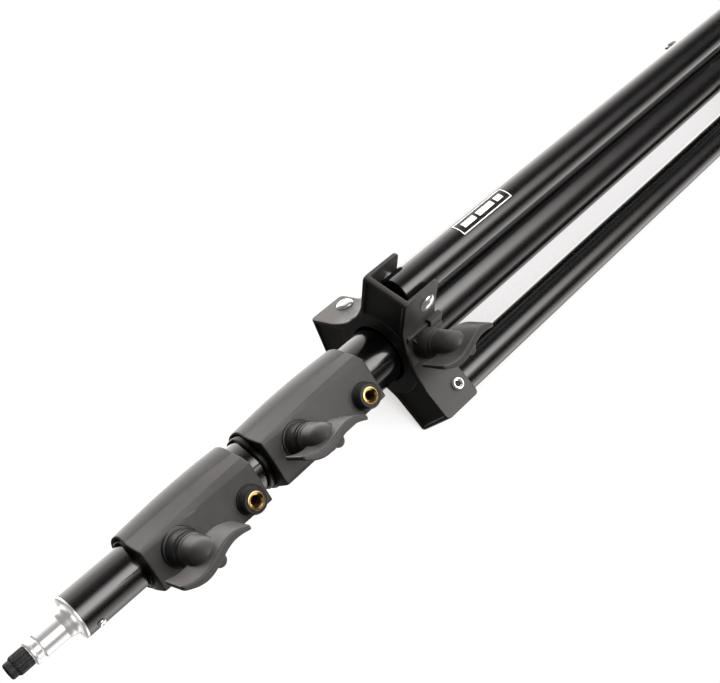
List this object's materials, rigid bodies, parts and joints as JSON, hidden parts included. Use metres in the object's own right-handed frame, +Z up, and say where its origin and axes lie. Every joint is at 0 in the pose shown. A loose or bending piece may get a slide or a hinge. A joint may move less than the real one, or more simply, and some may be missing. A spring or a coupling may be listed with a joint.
{
  "type": "telescoping light stand",
  "caption": "Folding light stand: telescoping column in tapered locking collars, winged clamp knobs, a sliding leg hub with braced tube legs, and a grooved spigot.",
  "frame": {"origin": "centre of the bottom face of the column's end cap", "axes": "+Z up the column towards the spigot, -Y towards leg 1"},
  "size_m": [0.1292, 0.1125, 1.3537],
  "materials": {
    "tube_finish": "gloss black anodised, drawn tube",
    "casting_plastic": "fine spark-eroded grain, glass-filled moulding",
    "bush_plastic": "glossy black",
    "cap_plastic": "ribbed moulding",
    "brass": "turned, bright",
    "bare_metal": "turned, satin",
    "chrome_fastener": "polished",
    "steel_fastener": "zinc plated",
    "foot_rubber": "matte",
    "brace_metal": "satin, pressed channel"
  },
  "bodies": {
    "column": {"column_tube": "tube_finish", "column_end_cap": "bush_plastic", "spreader_hub": "casting_plastic", "spreader_rivet_1a": "steel_fastener", "spreader_rivet_1b": "steel_fastener", "spreader_rivet_2a": "steel_fastener", "spreader_rivet_2b": "steel_fastener", "spreader_rivet_3a": "steel_fastener", "spreader_rivet_3b": "steel_fastener", "collar_2_body": "casting_plastic", "collar_2_bush": "bush_plastic", "collar_2_insert": "brass", "collar_2_nut": "brass", "collar_2_shoe": "brass"},
    "knob_2": {"knob_2_wing": "casting_plastic", "knob_2_screw": "steel_fastener"},
    "mid_section": {"mid_tube": "tube_finish", "mid_guide": "bush_plastic", "collar_1_body": "casting_plastic", "collar_1_bush": "bush_plastic", "collar_1_insert": "brass", "collar_1_nut": "brass", "collar_1_shoe": "brass"},
    "knob_1": {"knob_1_wing": "casting_plastic", "knob_1_screw": "steel_fastener"},
    "top_section": {"top_tube": "tube_finish", "top_guide": "bush_plastic", "top_plug": "bare_metal", "top_rivet": "chrome_fastener", "spigot": "bare_metal"},
    "cap": {"spigot_cap": "cap_plastic"},
    "brace_one": {"brace_1": "brace_metal"},
    "leg_one": {"leg_1_tube": "tube_finish", "leg_1_plug": "bush_plastic", "leg_1_foot": "foot_rubber", "leg_1_pin": "steel_fastener"},
    "hub": {"hub_body": "casting_plastic", "hub_bush": "bush_plastic", "hub_shoe": "brass", "hub_nut": "brass", "pivot_bolt_1": "chrome_fastener", "pivot_bolt_2": "chrome_fastener", "pivot_bolt_3": "chrome_fastener", "pivot_nut_1": "chrome_fastener", "pivot_nut_2": "chrome_fastener", "pivot_nut_3": "chrome_fastener"},
    "hub_knob": {"hub_knob_wing": "casting_plastic", "hub_knob_screw": "steel_fastener"},
    "leg_two": {"leg_2_tube": "tube_finish", "leg_2_plug": "bush_plastic", "leg_2_foot": "foot_rubber", "leg_2_pin": "steel_fastener"},
    "brace_two": {"brace_2": "brace_metal"},
    "leg_three": {"leg_3_tube": "tube_finish", "leg_3_plug": "bush_plastic", "leg_3_foot": "foot_rubber", "leg_3_pin": "steel_fastener"},
    "brace_three": {"brace_3": "brace_metal"}
  },
  "joints": [
    {"name": "mid_section_slide", "type": "slide", "parent": "column", "child": "mid_section", "axis": [0, 0, 1], "range_m": [0, 0.85]},
    {"name": "top_section_slide", "type": "slide", "parent": "mid_section", "child": "top_section", "axis": [0, 0, 1], "range_m": [0, 0.9]},
    {"name": "cap_unscrew", "type": "hinge", "parent": "top_section", "child": "cap", "pos_m": [0, 0, 1.258], "axis": [0, 0, 1], "range_deg": [0, 1080]},
    {"name": "knob_1_turn", "type": "hinge", "parent": "mid_section", "child": "knob_1", "pos_m": [-0.03121, -0.0281, 1.1625], "axis": [-0.7431, -0.6691, 0], "range_deg": [0, 450]},
    {"name": "knob_2_turn", "type": "hinge", "parent": "column", "child": "knob_2", "pos_m": [-0.02864, -0.03072, 1.0625], "axis": [-0.682, -0.7314, 0], "range_deg": [0, 450]},
    {"name": "brace_1_spreader_pivot", "type": "hinge", "parent": "column", "child": "brace_one", "pos_m": [0, -0.0495, 0.035], "axis": [1, 0, 0], "range_deg": [0, 60]},
    {"name": "leg_1_brace_pivot", "type": "hinge", "parent": "brace_one", "child": "leg_one", "pos_m": [0, -0.0495, 0.488], "axis": [-1, 0, 0], "range_deg": [0, 120]},
    {"name": "leg_1_hub_pivot", "type": "hinge", "parent": "leg_one", "child": "hub", "pos_m": [0, -0.0495, 0.941], "axis": [1, 0, 0], "range_deg": [0, 60]},
    {"name": "hub_knob_turn", "type": "hinge", "parent": "hub", "child": "hub_knob", "pos_m": [-0.03354, -0.02528, 0.9475], "axis": [-0.7986, -0.6018, 0], "range_deg": [0, 450]},
    {"name": "leg_2_hub_pivot", "type": "hinge", "parent": "hub", "child": "leg_two", "pos_m": [-0.04287, 0.02475, 0.941], "axis": [0.5, 0.866, 0], "range_deg": [0, 60]},
    {"name": "brace_2_leg_pivot", "type": "hinge", "parent": "leg_two", "child": "brace_two", "pos_m": [-0.04287, 0.02475, 0.488], "axis": [-0.5, -0.866, 0], "range_deg": [0, 120]},
    {"name": "leg_3_hub_pivot", "type": "hinge", "parent": "hub", "child": "leg_three", "pos_m": [0.04287, 0.02475, 0.941], "axis": [0.5, -0.866, 0], "range_deg": [0, 60]},
    {"name": "brace_3_leg_pivot", "type": "hinge", "parent": "leg_three", "child": "brace_three", "pos_m": [0.04287, 0.02475, 0.488], "axis": [-0.5, 0.866, 0], "range_deg": [0, 120]}
  ],
  "couplings": [
    {"joint": "leg_1_brace_pivot", "follows": "brace_1_spreader_pivot", "ratio": 2},
    {"joint": "leg_1_hub_pivot", "follows": "brace_1_spreader_pivot", "ratio": 1},
    {"joint": "leg_2_hub_pivot", "follows": "brace_1_spreader_pivot", "ratio": 1},
    {"joint": "brace_2_leg_pivot", "follows": "brace_1_spreader_pivot", "ratio": 2},
    {"joint": "leg_3_hub_pivot", "follows": "brace_1_spreader_pivot", "ratio": 1},
    {"joint": "brace_3_leg_pivot", "follows": "brace_1_spreader_pivot", "ratio": 2}
  ]
}
